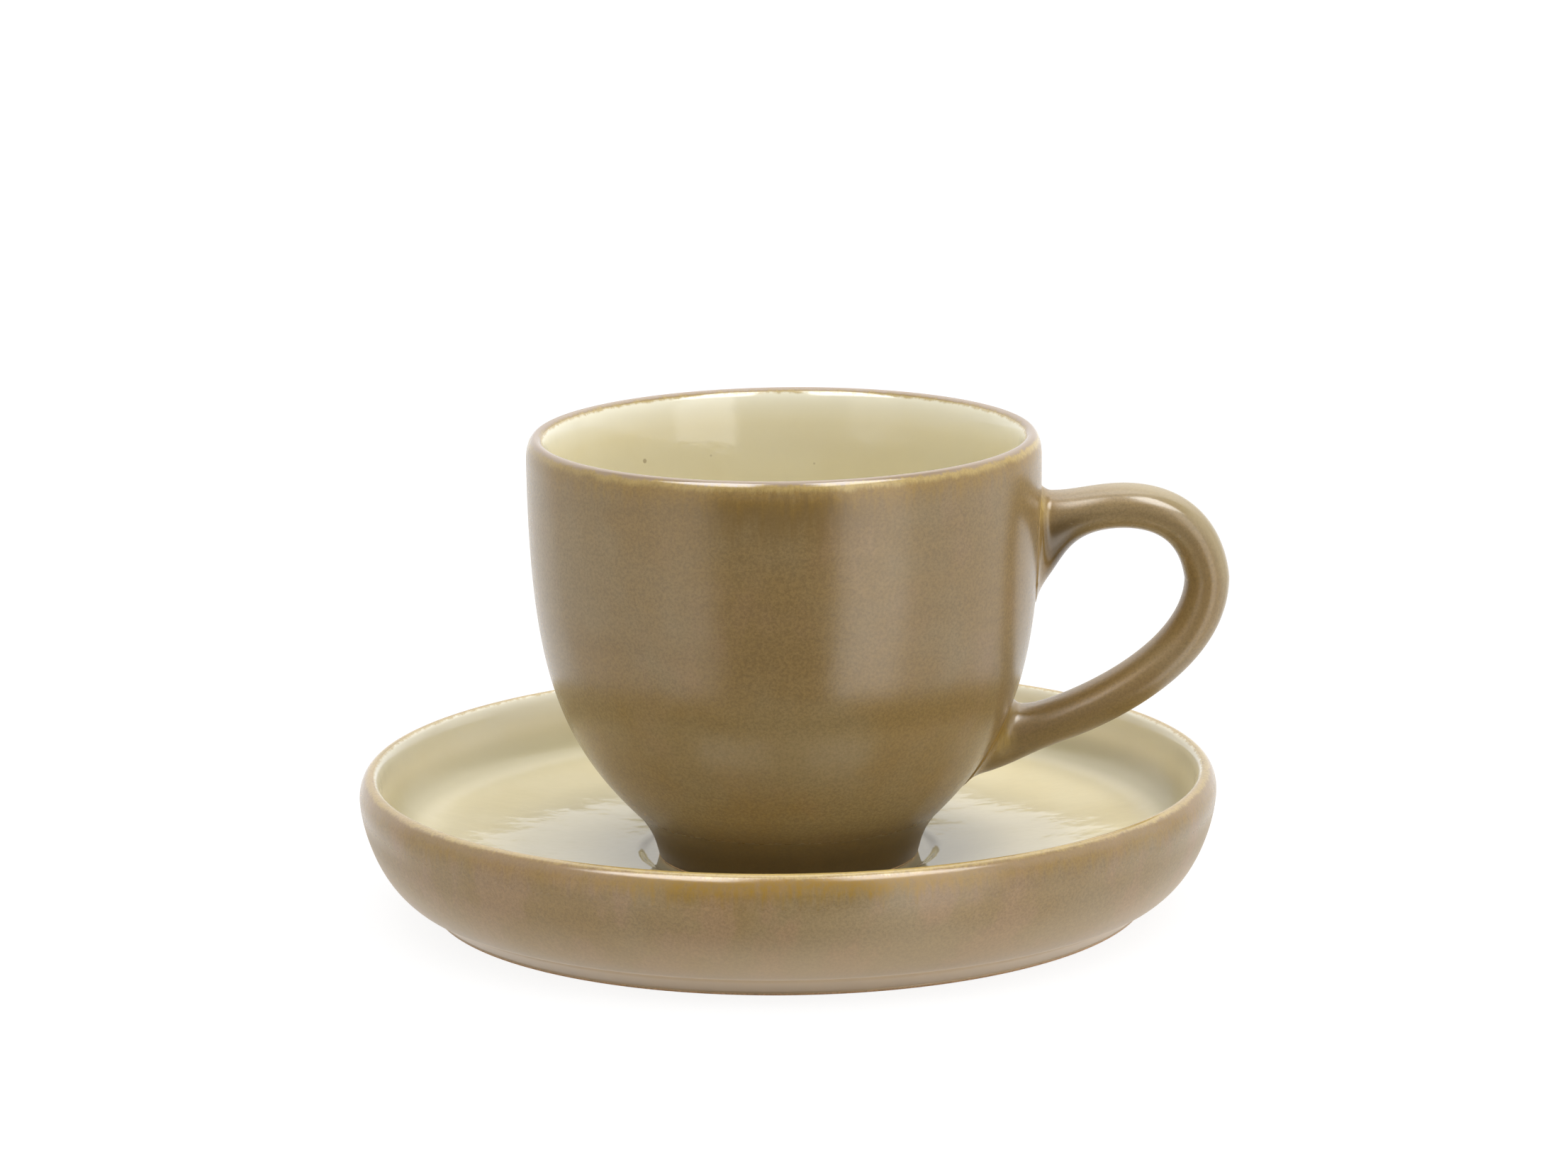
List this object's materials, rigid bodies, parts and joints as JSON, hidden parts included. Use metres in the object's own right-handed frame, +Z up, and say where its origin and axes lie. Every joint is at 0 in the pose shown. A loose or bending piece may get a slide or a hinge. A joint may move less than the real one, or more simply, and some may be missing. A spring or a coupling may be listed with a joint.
{
  "type": "espresso cup with saucer",
  "caption": "Small rounded stoneware cup with a looped handle, standing in the shallow well of a deep-rimmed round saucer; the cup lifts off the saucer",
  "frame": {"origin": "centre of the plane that the saucer's foot ring stands on", "axes": "+Z is up, along the axis of the saucer and of the cup; +X points to the cup's handle"},
  "size_m": [0.1168, 0.115, 0.0637],
  "materials": {
    "brown_glaze": "brown to grey-brown satin reactive glaze, golden and streaked where it thins at the rims",
    "cream_glaze": "glossy warm cream glaze with fine dark specks"
  },
  "bodies": {
    "saucer": {"saucer_body": "brown_glaze", "saucer_lining": "cream_glaze"},
    "cup": {"cup_body": "brown_glaze", "cup_lining": "cream_glaze", "cup_handle": "brown_glaze"}
  },
  "joints": [
    {"name": "cup_lift", "type": "slide", "parent": "saucer", "child": "cup", "axis": [0, 0, 1], "range_m": [0, 0.06]}
  ]
}
